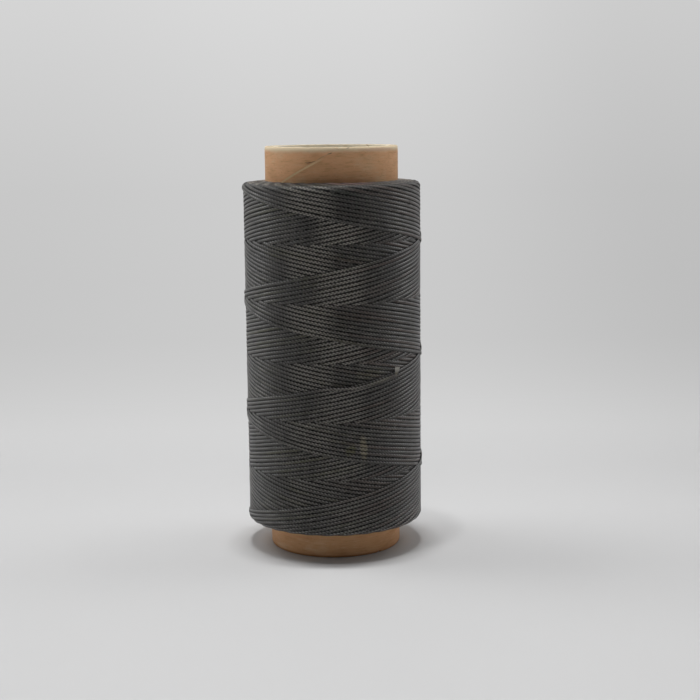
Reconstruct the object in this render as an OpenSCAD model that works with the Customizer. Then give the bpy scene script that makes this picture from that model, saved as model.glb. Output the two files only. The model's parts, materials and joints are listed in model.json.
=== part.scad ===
// Spool of flat waxed thread, cross-wound on a spiral paper tube.
// Millimetres. The spool stands on the XY plane with its axis on Z.
// Angles are counted from the front of the spool (-Y) towards its right (+X).

/* [Tube] */
// Height of the paper tube, which is the height of the spool
tube_h = 116; // [100:1:150]
// Outer diameter of the paper tube
tube_od = 38; // [36:0.5:42]
// Bore of the paper tube
tube_id = 32; // [24:0.5:32]

/* [Plies] */
// Thickness of the liner ply, the wall of the bore
liner_t = 0.5; // [0.3:0.05:0.6]
// Thickness of the kraft ply on the outside
outer_ply_t = 0.4; // [0.3:0.05:0.6]
// Climb of the outer ply in one turn around the tube
ply_lead = 60.5; // [45:0.5:80]
// Open butt seam between the edges of the outer ply, along the axis
ply_seam = 0.3; // [0.2:0.05:0.6]
// Angle at which the seam of the outer ply meets the top of the tube
seam_top_angle = 9; // [-180:1:180]

/* [Thread] */
// Width of the flat thread
thread_w = 1.1; // [0.8:0.05:1.3]
// Thickness of the flat thread
thread_t = 0.4; // [0.3:0.05:0.5]

/* [Winding] */
// Diameter over the outermost turns
package_d = 51; // [48:0.5:60]
// Bare tube below the winding
bare_bottom = 8.1; // [4:0.05:15]
// Bare tube above the winding
bare_top = 9.75; // [4:0.05:15]
// How far the winding's top end falls from the tube to its rim
top_fall = 0.65; // [0:0.05:1.5]
// Rounding at the two rims of the winding
rim_r = 1.2; // [0.6:0.1:2]
// Clear gap where one turn of the thread passes over another
crossing_gap = 0.44; // [0.42:0.01:0.6]

/* [Loose end] */
// Angle at which the last turn lets go of the winding
loose_angle = 30; // [-180:15:180]
// Length of the loose end that still follows the last turn
loose_straight = 6.2; // [4:0.2:8]
// Radius of the bend in which the loose end turns up
loose_bend_r = 1.8; // [1:0.1:3]

/* [Hidden] */

$fn = 96;

// Tube wall: liner, four board plies of equal thickness, outer ply
core_plies = 4;
bore_r = tube_id / 2;
tube_r = tube_od / 2;
core_in_r = bore_r + liner_t;
core_out_r = tube_r - outer_ply_t;
core_t = (core_out_r - core_in_r) / core_plies;

// Outer ply: a strip whose edges climb the tube, cut off flat with it
ply_step = 6;
ply_tip = 0.5;
ply_w = ply_lead - ply_seam;
ply_rise = ply_lead / 360;
ply_seam_foot = seam_top_angle - tube_h / ply_rise;

// Winding: the thread travels from end to end and back in even strokes.
// Eight strokes share out the circle evenly, and each crosses the
// strokes of the other way after every third ring.
turn_steps = 24;
ring_angle = 360 / turn_steps;
crossing_rings = 3;
stroke_crossings = 23;
stroke_rings = crossing_rings * stroke_crossings;
round_strokes = 8;
first_ring = 36;
last_ring = round_strokes * stroke_rings + 31;

// Radii of the thread's middle where it lies low and where it passes over
chord_dip = cos(ring_angle / 2);
high_r = package_d / 2 - thread_t / 2;
low_r = high_r - (thread_t + crossing_gap) / chord_dip;
clear_of_core = 0.03;
core_windings_r = low_r * chord_dip - thread_t / 2 - clear_of_core;

package_low = bare_bottom;
package_high = tube_h - bare_top;
stroke_low = package_low + thread_w / 2;
stroke_high = package_high - top_fall - thread_w / 2;
stroke_h = stroke_high - stroke_low;
ring_rise = stroke_h / stroke_rings;
ring_run = high_r * ring_angle * PI / 180;
climb = atan(ring_rise / ring_run);
thread_w_upright = thread_w / cos(climb);
gap_samples = 3;

// Rounding of the inner windings' rims: its middle at either end
fall_angle = atan(top_fall / (package_d / 2 - tube_r));
rounding_r = core_windings_r - rim_r;
rounding_low = package_low + rim_r;
rounding_high =
    package_high - (rounding_r - tube_r) * tan(fall_angle) - rim_r / cos(fall_angle);

// Loose end: it runs on, turns up and frays at its tip
loose_straight_steps = 2;
loose_bend_steps = 6;
loose_turn_up = 80;
loose_lift = 0.35;
fray_w = 1.5;
fray_t = 0.25;

// A point on the cylinder of radius r
function around(r, angle, z) = [r * sin(angle), -r * cos(angle), z];

// Directions at an angle: along the circle, and out of it
function along(angle) = [cos(angle), sin(angle), 0];
function outward(angle) = [sin(angle), -cos(angle), 0];

// The six corners of the flat thread's section, across and out
section = [for (a = [0:60:300]) [cos(a) / 2, sin(a) / sin(60) / 2]];

// One ring of the thread. slope is its climb, and lean turns it out of the
// surface: at lean 90 the thread stands square on the cylinder.
function ring(r, angle, z, slope, lean = 0, w = thread_w, t = thread_t) =
    let(
        ahead = cos(lean) * along(angle) + sin(lean) * outward(angle),
        out = cos(lean) * outward(angle) - sin(lean) * along(angle),
        across = [0, 0, cos(slope)] - sin(slope) * ahead
    )
    [for (c = section) around(r, angle, z) + c[0] * w * across + c[1] * t * out];

// Faces of a closed tube through rings of n corners
function tube_faces(rings, n) = concat(
    [for (k = [1:n - 2]) [0, k, k + 1]],
    [
        for (i = [0:rings - 2], k = [0:n - 1])
            let(a = i * n + k, b = i * n + (k + 1) % n)
            each [[a, a + n, b], [b, a + n, b + n]]
    ],
    let(end = (rings - 1) * n)
    [for (k = [1:n - 2]) [end, end + k + 1, end + k]]
);

module tube_through(rings) {
    n = len(rings[0]);
    polyhedron(points = [for (r = rings) each r], faces = tube_faces(len(rings), n), convexity = 10);
}

// Stroke that ring i belongs to, and its place in that stroke
function stroke_of(i) = floor(i / stroke_rings);
function place_of(i) = i % stroke_rings;

// Stroke that stroke s meets at its crossing c. Where the first and the last
// stroke share a line, the last one has it up to its end.
function stroke_met(s, c) =
    let(met = (s - 2 * c - 1 + 8 * round_strokes) % round_strokes)
    (met == 0 && c > stroke_crossings / 2) ? round_strokes : met;

// 1 where the stroke passes over an older one, and 0 where it lies low
function lies_over(s, c) =
    (c == 0 || c == stroke_crossings) ? 0 : (s > stroke_met(s, c) ? 1 : 0);

function route_angle(i) = loose_angle + (i - last_ring) * ring_angle;
function route_r(i) =
    low_r + (high_r - low_r) * lies_over(stroke_of(i), round(place_of(i) / crossing_rings));
function route_z(i) = stroke_of(i) % 2 == 0
    ? stroke_low + place_of(i) * ring_rise
    : stroke_high - place_of(i) * ring_rise;
function route_slope(i) = place_of(i) == 0 ? 0 : (stroke_of(i) % 2 == 0 ? climb : -climb);
function route_ring(i) = ring(route_r(i), route_angle(i), route_z(i), route_slope(i));

// Where the winding starts, the thread comes straight out of the windings
// below it for one thickness and bends over into its first ring.
start_angle = route_angle(first_ring) - ring_angle / 2;
start_z = route_z(first_ring) - ring_rise / 2;
start_rings = [
    ring(core_windings_r, start_angle, start_z, 0, 90),
    ring(low_r, start_angle, start_z, 0, 90),
    ring(low_r + thread_t / 2, start_angle + 1, start_z, climb / 2, 45)
];

// Middle of the thread at a fraction f of the way from ring i to the next,
// as its distance from the axis and its height
function middle(i, f) =
    let(
        a = around(route_r(i), route_angle(i), route_z(i)),
        b = around(route_r(i + 1), route_angle(i + 1), route_z(i + 1)),
        p = a + (b - a) * f
    )
    [norm([p[0], p[1]]), p[2]];

// Clear distance between two turns that pass the same angle
function clear_between(a, b) = norm([
    max(0, abs(a[0] - b[0]) - thread_t),
    max(0, abs(a[1] - b[1]) - thread_w_upright)
]);

function least_gap() = min([
    for (i = [first_ring:last_ring - 1 - turn_steps], s = [0:gap_samples - 1])
        let(f = s / gap_samples, here = middle(i, f))
        each [
            for (k = [i + turn_steps:turn_steps:last_ring - 1])
                clear_between(here, middle(k, f))
        ]
]);

// Edges of the outer ply's strip above the foot of its seam
function ply_top(a) = min(tube_h, max(ply_tip, (a - ply_seam_foot) * ply_rise));
function ply_bottom(a) = max(0, min(tube_h - ply_tip, (a - ply_seam_foot) * ply_rise - ply_w));

// Angles from a to b in even steps of about ply_step, without b
function steps(a, b) = let(n = ceil((b - a) / ply_step)) [for (k = [0:n - 1]) a + (b - a) * k / n];

module ply_ring(in_r, out_r) {
    difference() {
        cylinder(r = out_r, h = tube_h);
        translate([0, 0, -1])
            cylinder(r = in_r, h = tube_h + 2);
    }
}

module liner_ply() {
    color("#b9a184")
        ply_ring(bore_r, core_in_r);
}

module core_ply(number) {
    in_r = core_in_r + (number - 1) * core_t;
    color("#a98d6c")
        ply_ring(in_r, in_r + core_t);
}

// The strip starts as a tip at the foot, has its whole width from the point
// where its lower edge leaves the foot, and ends as a tip at the top.
module outer_ply() {
    foot_tip = ply_seam_foot + ply_tip / ply_rise;
    foot_corner = ply_seam_foot + ply_w / ply_rise;
    top_corner = ply_seam_foot + tube_h / ply_rise;
    top_tip = top_corner + (ply_w - ply_tip) / ply_rise;
    stops = [
        each steps(foot_tip, foot_corner),
        each steps(foot_corner, top_corner),
        each steps(top_corner, top_tip),
        top_tip
    ];
    in_r = core_out_r / cos(ply_step / 2);
    color("#a5805c")
        tube_through([
            for (a = stops) [
                around(in_r, a, ply_bottom(a)),
                around(in_r, a, ply_top(a)),
                around(tube_r, a, ply_top(a)),
                around(tube_r, a, ply_bottom(a))
            ]
        ]);
}

// The many layers below the outer turns, as one ring with rounded rims
module thread_inner_windings() {
    color("#3a3836")
        rotate_extrude() {
            polygon([
                [tube_r, package_low],
                [rounding_r, package_low],
                [core_windings_r, rounding_low],
                [core_windings_r, rounding_high],
                [rounding_r, rounding_high] + rim_r * [sin(fall_angle), cos(fall_angle)],
                [tube_r, package_high]
            ]);
            for (z = [rounding_low, rounding_high])
                translate([rounding_r, z])
                    circle(r = rim_r);
        }
}

// The outer turns: one unbroken thread that passes over each older stroke
module thread_outer_winding() {
    echo(loops = (last_ring - first_ring) / turn_steps, least_gap_mm = least_gap());
    color("#4a4744")
        tube_through([
            each start_rings,
            for (i = [first_ring:last_ring]) route_ring(i)
        ]);
}

// Run, rise and heading of the loose end, which goes on straight and then
// turns up in an arc
loose_route = [
    for (k = [0:loose_straight_steps])
        let(d = loose_straight * k / loose_straight_steps)
        [d * cos(climb), d * sin(climb), climb],
    for (k = [1:loose_bend_steps])
        let(heading = climb + (loose_turn_up - climb) * k / loose_bend_steps)
        [
            loose_straight * cos(climb) + loose_bend_r * (sin(heading) - sin(climb)),
            loose_straight * sin(climb) + loose_bend_r * (cos(climb) - cos(heading)),
            heading
        ]
];

// The cut end of the thread, which leaves the last turn and frays at its tip
module thread_loose_end() {
    last = len(loose_route) - 1;
    color("#6b655c")
        tube_through([
            for (k = [0:last])
                let(f = k / last, fray = pow(f, 4), place = loose_route[k])
                ring(
                    high_r + loose_lift * f * f,
                    loose_angle + place[0] / high_r * 180 / PI,
                    route_z(last_ring) + place[1],
                    place[2],
                    w = thread_w + (fray_w - thread_w) * fray,
                    t = thread_t + (fray_t - thread_t) * fray
                )
        ]);
}

liner_ply();
core_ply(1);  // core_ply_1
core_ply(2);  // core_ply_2
core_ply(3);  // core_ply_3
core_ply(4);  // core_ply_4
outer_ply();
thread_inner_windings();
thread_outer_winding();
thread_loose_end();
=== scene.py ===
"""Spool of flat braided waxed thread, cross-wound on a spiral paper tube.

Blender works in metres here, and the sizes of the spool are written in millimetres and
multiplied by MM where a mesh is made. The spool stands on the XY plane with its axis on Z.
Angles around the axis are counted from the front (-Y) towards the right (+X).
"""

import json
import logging
import math
from dataclasses import dataclass, field
from enum import Enum
from typing import Iterable, Sequence

import bmesh
import bpy
import numpy as np
from mathutils import Matrix, Vector, noise


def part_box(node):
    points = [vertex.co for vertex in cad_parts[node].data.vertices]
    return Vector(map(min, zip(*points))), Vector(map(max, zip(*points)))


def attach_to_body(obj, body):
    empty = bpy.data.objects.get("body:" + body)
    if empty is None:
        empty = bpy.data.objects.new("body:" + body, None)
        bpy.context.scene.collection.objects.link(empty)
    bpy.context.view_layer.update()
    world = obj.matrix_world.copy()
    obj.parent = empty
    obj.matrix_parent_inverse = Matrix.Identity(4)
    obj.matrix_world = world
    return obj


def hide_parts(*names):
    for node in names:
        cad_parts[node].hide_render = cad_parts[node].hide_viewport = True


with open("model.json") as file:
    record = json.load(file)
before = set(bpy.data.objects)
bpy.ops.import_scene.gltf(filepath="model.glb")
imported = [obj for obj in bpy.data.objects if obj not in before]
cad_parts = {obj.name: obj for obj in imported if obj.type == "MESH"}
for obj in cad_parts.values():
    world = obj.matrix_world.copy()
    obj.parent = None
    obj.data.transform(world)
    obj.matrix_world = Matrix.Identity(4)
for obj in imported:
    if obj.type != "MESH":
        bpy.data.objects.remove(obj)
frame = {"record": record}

log = logging.getLogger("spool")

MM = 0.001
MERGE = 1e-7
BODY = "root"

Colour = tuple[float, float, float]
Number = "float | Term"


# ---------------------------------------------------------------------------
# Small helpers
# ---------------------------------------------------------------------------


def tint(code: str) -> Colour:
    """The linear colour of a screen colour such as "#8a6b50"."""
    channels = [int(code[i:i + 2], 16) / 255 for i in (1, 3, 5)]
    return tuple(c / 12.92 if c <= 0.04045 else ((c + 0.055) / 1.055) ** 2.4 for c in channels)


def ease(x: np.ndarray, low: float, high: float) -> np.ndarray:
    """Rises smoothly from 0 at low to 1 at high."""
    f = np.clip((x - low) / (high - low), 0.0, 1.0)
    return f * f * (3.0 - 2.0 * f)


def rounding(near: float) -> float:
    """How far a rounded edge draws back: 0 away from it (near 0) and 1 at its end."""
    return 1.0 - math.sqrt(max(0.0, 1.0 - near * near))


def around(radius: float, angle: float, height: float) -> Vector:
    """A point in millimetres on a cylinder around Z.

    Args:
        radius: distance from the axis.
        angle: angle from the front towards the right, in degrees.
        height: height above the floor.

    Returns:
        The point as a vector in metres.
    """
    a = math.radians(angle)
    return Vector((radius * math.sin(a), -radius * math.cos(a), height)) * MM


class Slot(Enum):
    """Material slots of the part."""

    LINER = "liner_paper"
    CORE = "core_board"
    KRAFT = "kraft_paper"
    THREAD = "waxed_thread"
    THREAD_END = "waxed_thread_end"


# ---------------------------------------------------------------------------
# Shader toolkit
# ---------------------------------------------------------------------------


class Term:
    """A socket that a node puts out, for use in sums."""

    def __init__(self, sheet: "NodeSheet", socket: bpy.types.NodeSocket) -> None:
        """Keeps the socket and the sheet that it is on."""
        self.sheet = sheet
        self.socket = socket

    def maths(self, operation: str, *others: Number) -> "Term":
        """Adds a Math node.

        Args:
            operation: the node's operation.
            others: its second and third values.

        Returns:
            The node's result.
        """
        sockets = dict(enumerate([self, *others]))
        return self.sheet.node("ShaderNodeMath", {"operation": operation}, sockets)

    def __add__(self, other: Number) -> "Term":
        """The sum."""
        return self.maths("ADD", other)

    def __sub__(self, other: Number) -> "Term":
        """The difference."""
        return self.maths("SUBTRACT", other)

    def __rsub__(self, other: float) -> "Term":
        """A number less this term."""
        return self.maths("MULTIPLY_ADD", -1.0, other)

    def __mul__(self, other: Number) -> "Term":
        """The product."""
        return self.maths("MULTIPLY", other)

    def __truediv__(self, other: Number) -> "Term":
        """The quotient."""
        return self.maths("DIVIDE", other)

    def __pow__(self, other: Number) -> "Term":
        """The power."""
        return self.maths("POWER", other)

    __radd__ = __add__
    __rmul__ = __mul__

    def turn(self, y: "Term") -> "Term":
        """Angle around the axis at this x and y, from the front, in radians."""
        return self.maths("ARCTAN2", y * -1.0)

    def sine(self) -> "Term":
        """The sine of this angle in radians."""
        return self.maths("SINE")

    def size(self) -> "Term":
        """The value without its sign."""
        return self.maths("ABSOLUTE")

    def fraction(self) -> "Term":
        """What is left above the next lower whole number."""
        return self.maths("FRACT")

    def above(self, level: float) -> "Term":
        """1 where the value is above the level, else 0."""
        return self.maths("GREATER_THAN", level)

    def rise(self, low: float, high: float) -> "Term":
        """Rises smoothly from 0 at low to 1 at high.

        Args:
            low: the value that gives 0.
            high: the value that gives 1, which may be below low.

        Returns:
            The eased value.
        """
        settings = {"interpolation_type": "SMOOTHSTEP"}
        sockets = {"Value": self, "From Min": low, "From Max": high}
        if low > high:
            sockets = {"Value": self, "From Min": high, "From Max": low}
            return 1.0 - self.sheet.node("ShaderNodeMapRange", settings, sockets)
        return self.sheet.node("ShaderNodeMapRange", settings, sockets)


class NodeSheet:
    """The nodes of one material."""

    def __init__(self, tree: bpy.types.NodeTree) -> None:
        """Empties the tree."""
        self.tree = tree
        self.tree.nodes.clear()

    @staticmethod
    def _find(sockets: Iterable[bpy.types.NodeSocket], key: "int | str") -> bpy.types.NodeSocket:
        """The socket of this number, identifier or name."""
        if isinstance(key, int):
            return sockets[key]
        for attribute in ("identifier", "name"):
            for socket in sockets:
                if getattr(socket, attribute) == key:
                    return socket
        raise KeyError(key)

    def node(self, kind: str, settings: "dict | None" = None, sockets: "dict | None" = None,
             out: "int | str" = 0) -> Term:
        """Adds a node.

        Args:
            kind: the node's type.
            settings: its own settings, which are set first. "stops" are a ramp's
                pairs of position and colour.
            sockets: values or terms for its inputs, by number, identifier or name.
            out: the output that is wanted.

        Returns:
            That output.
        """
        made = self.tree.nodes.new(kind)
        for name, value in (settings or {}).items():
            if name == "stops":
                self._set_stops(made.color_ramp, value)
            else:
                setattr(made, name, value)
        for key, value in (sockets or {}).items():
            socket = self._find(made.inputs, key)
            if isinstance(value, Term):
                self.tree.links.new(value.socket, socket)
            elif socket.type == "RGBA" and len(value) == 3:
                socket.default_value = (*value, 1.0)
            else:
                socket.default_value = value
        return Term(self, self._find(made.outputs, out))

    @staticmethod
    def _set_stops(ramp: bpy.types.ColorRamp, stops: Sequence[tuple[float, Colour]]) -> None:
        """Gives a ramp its stops."""
        while len(ramp.elements) < len(stops):
            ramp.elements.new(1.0)
        for element, (position, colour) in zip(ramp.elements, stops):
            element.position = position
            element.color = (*colour, 1.0)

    def split(self, vector: Term) -> tuple[Term, Term, Term]:
        """The three parts of a vector."""
        first = self.node("ShaderNodeSeparateXYZ", None, {0: vector})
        outputs = first.socket.node.outputs
        return tuple(Term(self, outputs[i]) for i in range(3))

    def join(self, x: Number, y: Number, z: Number) -> Term:
        """A vector of three parts."""
        return self.node("ShaderNodeCombineXYZ", None, {0: x, 1: y, 2: z})

    def place(self) -> Term:
        """Object coordinates, in metres."""
        return self.node("ShaderNodeTexCoord", out="Object")

    def map(self, name: str) -> Term:
        """A UV map by its name."""
        return self.node("ShaderNodeUVMap", {"uv_map": name})

    def scaled(self, vector: Term, x: float, y: float, z: float) -> Term:
        """A vector with each part multiplied."""
        return self.node("ShaderNodeVectorMath", {"operation": "MULTIPLY"},
                         {0: vector, 1: (x, y, z)})

    def grain(self, vector: Term, scale: float = 1.0, detail: float = 2.0,
              roughness: float = 0.5, distortion: float = 0.0) -> Term:
        """Noise from about 0 to 1.

        Args:
            vector: where it is read.
            scale: waves per unit of the vector.
            detail: finer waves that are added.
            roughness: strength of the finer waves.
            distortion: how far the waves are bent.

        Returns:
            The noise.
        """
        sockets = {"Vector": vector, "Scale": scale, "Detail": detail, "Roughness": roughness,
                   "Distortion": distortion}
        return self.node("ShaderNodeTexNoise", None, sockets)

    def mix(self, first: "Colour | Term", second: "Colour | Term", share: Number) -> Term:
        """Mixes two colours.

        Args:
            first: the colour at share 0.
            second: the colour at share 1.
            share: how much of the second there is.

        Returns:
            The mixed colour.
        """
        settings = {"data_type": "RGBA", "clamp_factor": True}
        sockets = {"Factor_Float": share, "A_Color": first, "B_Color": second}
        return self.node("ShaderNodeMix", settings, sockets, "Result_Color")

    def layers(self, colour: "Colour | Term", *tones: "tuple[Colour, Number]") -> Term:
        """Lays tones over a colour, one after another.

        Args:
            colour: the colour below them.
            tones: each tone and its share.

        Returns:
            The colour that shows.
        """
        for tone, share in tones:
            colour = self.mix(colour, tone, share)
        return colour

    def bump(self, height: Term, depth: float, strength: float = 1.0,
             normal: "Term | None" = None) -> Term:
        """A normal bent by a height.

        Args:
            height: the height, from 0 to 1.
            depth: what a height of 1 stands for, in millimetres.
            strength: share of the effect.
            normal: a normal that is already bent.

        Returns:
            The normal.
        """
        sockets = {"Height": height, "Distance": depth * MM, "Strength": strength}
        if normal is not None:
            sockets["Normal"] = normal
        return self.node("ShaderNodeBump", None, sockets)

    def surface(self, sockets: dict) -> None:
        """Ends the sheet with a Principled shader.

        Args:
            sockets: its values or terms by name.
        """
        shader = self.node("ShaderNodeBsdfPrincipled", None, sockets)
        self.node_end(shader)

    def node_end(self, shader: Term) -> None:
        """Links a shader to the material's output."""
        end = self.tree.nodes.new("ShaderNodeOutputMaterial")
        self.tree.links.new(shader.socket, end.inputs["Surface"])


@dataclass(frozen=True)
class Finish:
    """A finish that a piece can wear."""

    name: str

    def paint(self, sheet: NodeSheet) -> None:
        """Lays the finish out as nodes."""
        raise NotImplementedError

    def material(self) -> bpy.types.Material:
        """The material with this finish, made once."""
        made = bpy.data.materials.get(self.name)
        if made is None:
            made = bpy.data.materials.new(self.name)
            made.use_nodes = True
            self.paint(NodeSheet(made.node_tree))
        return made


# ---------------------------------------------------------------------------
# Finishes
# ---------------------------------------------------------------------------


@dataclass(frozen=True)
class SpiralSeam:
    """Where the butt seam of a strip lies that is wound on a tube.

    Attributes:
        lead: climb of the seam in one turn, in millimetres.
        top_angle: angle at which it meets the top of the tube, in degrees.
        height: height of the tube, in millimetres.
    """

    lead: float
    top_angle: float
    height: float

    def height_at(self, angle: float) -> float:
        """Height of the seam at an angle in degrees, in millimetres."""
        return self.height + (angle - self.top_angle) * self.lead / 360.0

    def above(self, sheet: NodeSheet, point: Term) -> Term:
        """Height above the nearest seam in millimetres, from -lead/2 to lead/2."""
        x, y, z = sheet.split(point)
        turn = x.turn(y) / math.tau
        turns_up = (z / (MM * self.lead)) - turn - self.height_at(0.0) / self.lead
        return ((turns_up + 0.5).fraction() - 0.5) * self.lead


@dataclass(frozen=True)
class Mark:
    """A small patch on a round surface. Lengths are in millimetres.

    Attributes:
        angle: angle of its middle, in degrees.
        height: height of its middle.
        reach: half its length around the surface.
        width: half its width.
        tone: its colour.
        share: how strongly it covers.
        slope: its climb for each millimetre around.
    """

    angle: float
    height: float
    reach: float
    width: float
    tone: Colour
    share: float = 0.8
    slope: float = 0.0

    def cover(self, radius: float, turn: Term, z: Term, ragged: Term) -> Term:
        """How much of a point it covers.

        Args:
            radius: radius of the surface.
            turn: angle of the point, in radians.
            z: its height, in metres.
            ragged: noise that frays the patch.

        Returns:
            The share, from 0 to 1.
        """
        along = (turn - math.radians(self.angle)) * radius
        across = z / MM - self.height - along * self.slope
        far = (along / self.reach) ** 2.0 + (across / self.width) ** 2.0
        return (far + ragged * 1.2).rise(1.6, 0.8) * self.share


@dataclass(frozen=True)
class KraftPaper(Finish):
    """Brown kraft paper with short fibres, worn pale at its upper edge and paler still there as
    painted highlight, with painted shade towards its foot.

    Attributes:
        seam: the butt seam of the strip.
        radius: radius of the tube, in millimetres.
        body: the paper's own colour.
        dark: its darker fibres.
        pale: fibres that are worn pale.
        rim: its edge at the top, which is worn most, and paler still as painted highlight.
        lip: the raised edge below the seam.
        foot: painted shade towards the foot of the tube, below the package.
        marks: tears and scuffs along the seam, whose dark ones also stand for painted shade in the
            open seam and its tears, and a painted highlight along the rim at the right.
    """

    seam: SpiralSeam
    radius: float
    body: Colour = tint("#f2bb8b")
    dark: Colour = tint("#bb8452")
    pale: Colour = tint("#f3dcb4")
    rim: Colour = tint("#f8e3c0")
    lip: Colour = tint("#fbdcab")
    foot: Colour = tint("#d8a577")
    marks: tuple[Mark, ...] = (
        # The dark marks along the seam and in its tears also stand for painted shade in the open
        # seam.
        Mark(-19.8, 111.95, 1.1, 0.10, tint("#5b3c22"), 0.75, 0.04),
        Mark(-17.6, 111.85, 1.8, 0.11, tint("#5b3c22"), 0.85, 0.30),
        Mark(-8.0, 113.25, 1.6, 0.06, tint("#6b4729"), 0.6, 0.50),
        Mark(-1.4, 114.25, 0.75, 0.16, tint("#4d2d19"), 0.95, 0.30),
        Mark(14.0, 115.72, 0.60, 0.11, tint("#4d2d19"), 0.9, 0.20),
        Mark(2.5, 115.30, 1.8, 0.30, tint("#f5d9ba"), 0.85, 0.05),
        Mark(-18.5, 111.15, 1.7, 0.16, tint("#f7d6a2"), 0.8, 0.42),
        # Painted highlight: a pale band along the rim at the right.
        Mark(44.0, 115.2, 8.5, 0.55, tint("#e9b49a"), 0.45),
    )

    def paint(self, sheet: NodeSheet) -> None:
        """Lays out fibres, creases, the worn upper edge with its painted highlight, the seam and
        its tears, and painted shade at the foot.
        """
        point = sheet.place()
        x, y, z = sheet.split(point)
        fibres = sheet.grain(sheet.scaled(point, 260, 260, 2600), detail=4, roughness=0.65)
        blotches = sheet.grain(sheet.scaled(point, 90, 90, 160), detail=3, roughness=0.6)
        creases = sheet.grain(sheet.scaled(point, 120, 120, 900), detail=2, distortion=1.2)
        specks = sheet.grain(point, 1800, detail=2, roughness=0.7)
        crease = (creases - 0.5).size().rise(0.016, 0.0)
        from_seam = self.seam.above(sheet, point)
        lifted = z.rise(0.098, 0.106) * z.rise(0.1135, 0.1115)
        lip = from_seam.rise(-0.85, -0.5) * from_seam.rise(0.0, -0.2) * lifted
        ragged = sheet.grain(point, 900, detail=3)
        edge_noise = sheet.grain(point, 420, detail=4, roughness=0.65)
        scuffed = sheet.grain(point, 140, detail=2, roughness=0.6)
        # The upper edge is worn pale, and paler still as painted highlight.
        edge = z.rise(0.1136, 0.1160) + (edge_noise - 0.5) * 0.4 + (scuffed - 0.5) * 0.5
        # Painted contact shadow along the very foot of the tube.
        contact_shade = (z.rise(0.0010, 0.0003) + edge_noise * 0.6).rise(0.5, 1.2)
        turn = x.turn(y)
        colour = sheet.layers(
            self.body,
            # Painted shade towards the foot, below the package.
            (self.foot, z.rise(0.060, 0.004)),
            (self.dark, fibres.rise(0.52, 0.70) * 0.45),
            (self.pale, fibres.rise(0.46, 0.30) * 0.25),
            (self.dark, blotches.rise(0.50, 0.72) * 0.30),
            (self.pale, blotches.rise(0.46, 0.30) * 0.25),
            (self.dark, specks.rise(0.63, 0.72) * 0.40),
            (self.dark, crease * 0.30),
            (self.lip, lip * ragged.rise(0.15, 0.40) * 0.95),
            (self.rim, edge.rise(0.1, 0.9) * 0.95),
            (self.dark, contact_shade * 0.7),
            *((mark.tone, mark.cover(self.radius, turn, z, ragged)) for mark in self.marks),
        )
        normal = sheet.bump(fibres * 0.6 + blotches * 0.4 - crease * 0.3, 0.10, 0.8)
        normal = sheet.bump(specks, 0.02, 0.6, normal)
        sheet.surface({
            "Base Color": colour,
            "Roughness": fibres.maths("MULTIPLY_ADD", 0.15, 0.62),
            "Specular IOR Level": 0.35,
            "Normal": normal,
        })


@dataclass(frozen=True)
class CutBoard(Finish):
    """Grey-brown board that is cut across at the ends of the tube.

    Attributes:
        body: the board's own colour.
        dark: its darker fibres.
        pale: its fuzzy cut ends.
    """

    body: Colour = tint("#dcc9a6")
    dark: Colour = tint("#b0966f")
    pale: Colour = tint("#f3e9d0")

    def paint(self, sheet: NodeSheet) -> None:
        """Lays out felted fibres with pale fuzz on them."""
        point = sheet.place()
        fibres = sheet.grain(point, 1500, detail=5, roughness=0.7, distortion=0.6)
        patches = sheet.grain(point, 260, detail=3, roughness=0.6)
        colour = sheet.layers(
            self.body,
            (self.dark, fibres.rise(0.5, 0.7) * 0.7),
            (self.pale, fibres.rise(0.5, 0.34) * 0.6),
            (self.pale, patches.rise(0.45, 0.62) * 0.6),
        )
        sheet.surface({
            "Base Color": colour,
            "Roughness": 0.9,
            "Specular IOR Level": 0.2,
            "Normal": sheet.bump(fibres, 0.12, 0.9),
        })


@dataclass(frozen=True)
class LinerPaper(Finish):
    """Smooth greyish paper inside the bore, with the line of its own seam.

    Attributes:
        seam: the butt seam of the liner.
        body: the paper's own colour.
        dark: its darker fibres and the seam.
        pale: its paler fibres.
    """

    seam: SpiralSeam
    body: Colour = tint("#f6ecd6")
    dark: Colour = tint("#cbb592")
    pale: Colour = tint("#fcf6e8")

    def paint(self, sheet: NodeSheet) -> None:
        """Lays out fibres and a fine dark seam."""
        point = sheet.place()
        fibres = sheet.grain(sheet.scaled(point, 300, 300, 2200), detail=4, roughness=0.6)
        clouds = sheet.grain(point, 110, detail=3, roughness=0.6)
        gap = self.seam.above(sheet, point).size().rise(0.25, 0.1)
        colour = sheet.layers(
            self.body,
            (self.dark, fibres.rise(0.52, 0.72) * 0.5),
            (self.pale, clouds.rise(0.42, 0.62) * 0.45),
            (self.dark, gap * 0.9),
        )
        sheet.surface({
            "Base Color": colour,
            "Roughness": 0.8,
            "Specular IOR Level": 0.25,
            "Normal": sheet.bump(fibres - gap * 0.8, 0.08, 0.8),
        })


@dataclass(frozen=True)
class Fan:
    """Where the strands fan in over one end of the package.

    Attributes:
        angle: angle of one turning of the thread, in degrees.
        height: its height, in millimetres.
        shift: angle from one turning to the next.
        pitch: distance along the axis between two strands, below 0 at the low end.
        rim: radius of the package.
    """

    angle: float
    height: float
    shift: float
    pitch: float
    rim: float

    def gaps(self, sheet: NodeSheet, point: Term) -> Term:
        """The gaps between the strands.

        Args:
            sheet: the sheet of the finish.
            point: object coordinates.

        Returns:
            1 in a gap, and 0 on a strand and away from the end.
        """
        x, y, z = sheet.split(point)
        turn = x.turn(y) - math.radians(self.angle)
        inwards = self.rim - (x * x + y * y) ** 0.5 / MM
        up = (z / MM - self.height) / self.pitch
        strands = turn / math.radians(self.shift) + up + inwards / 6.6
        near = up.rise(-1.0, -0.4)
        return (strands * math.pi).sine().size().rise(0.60, 0.95) * near


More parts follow.
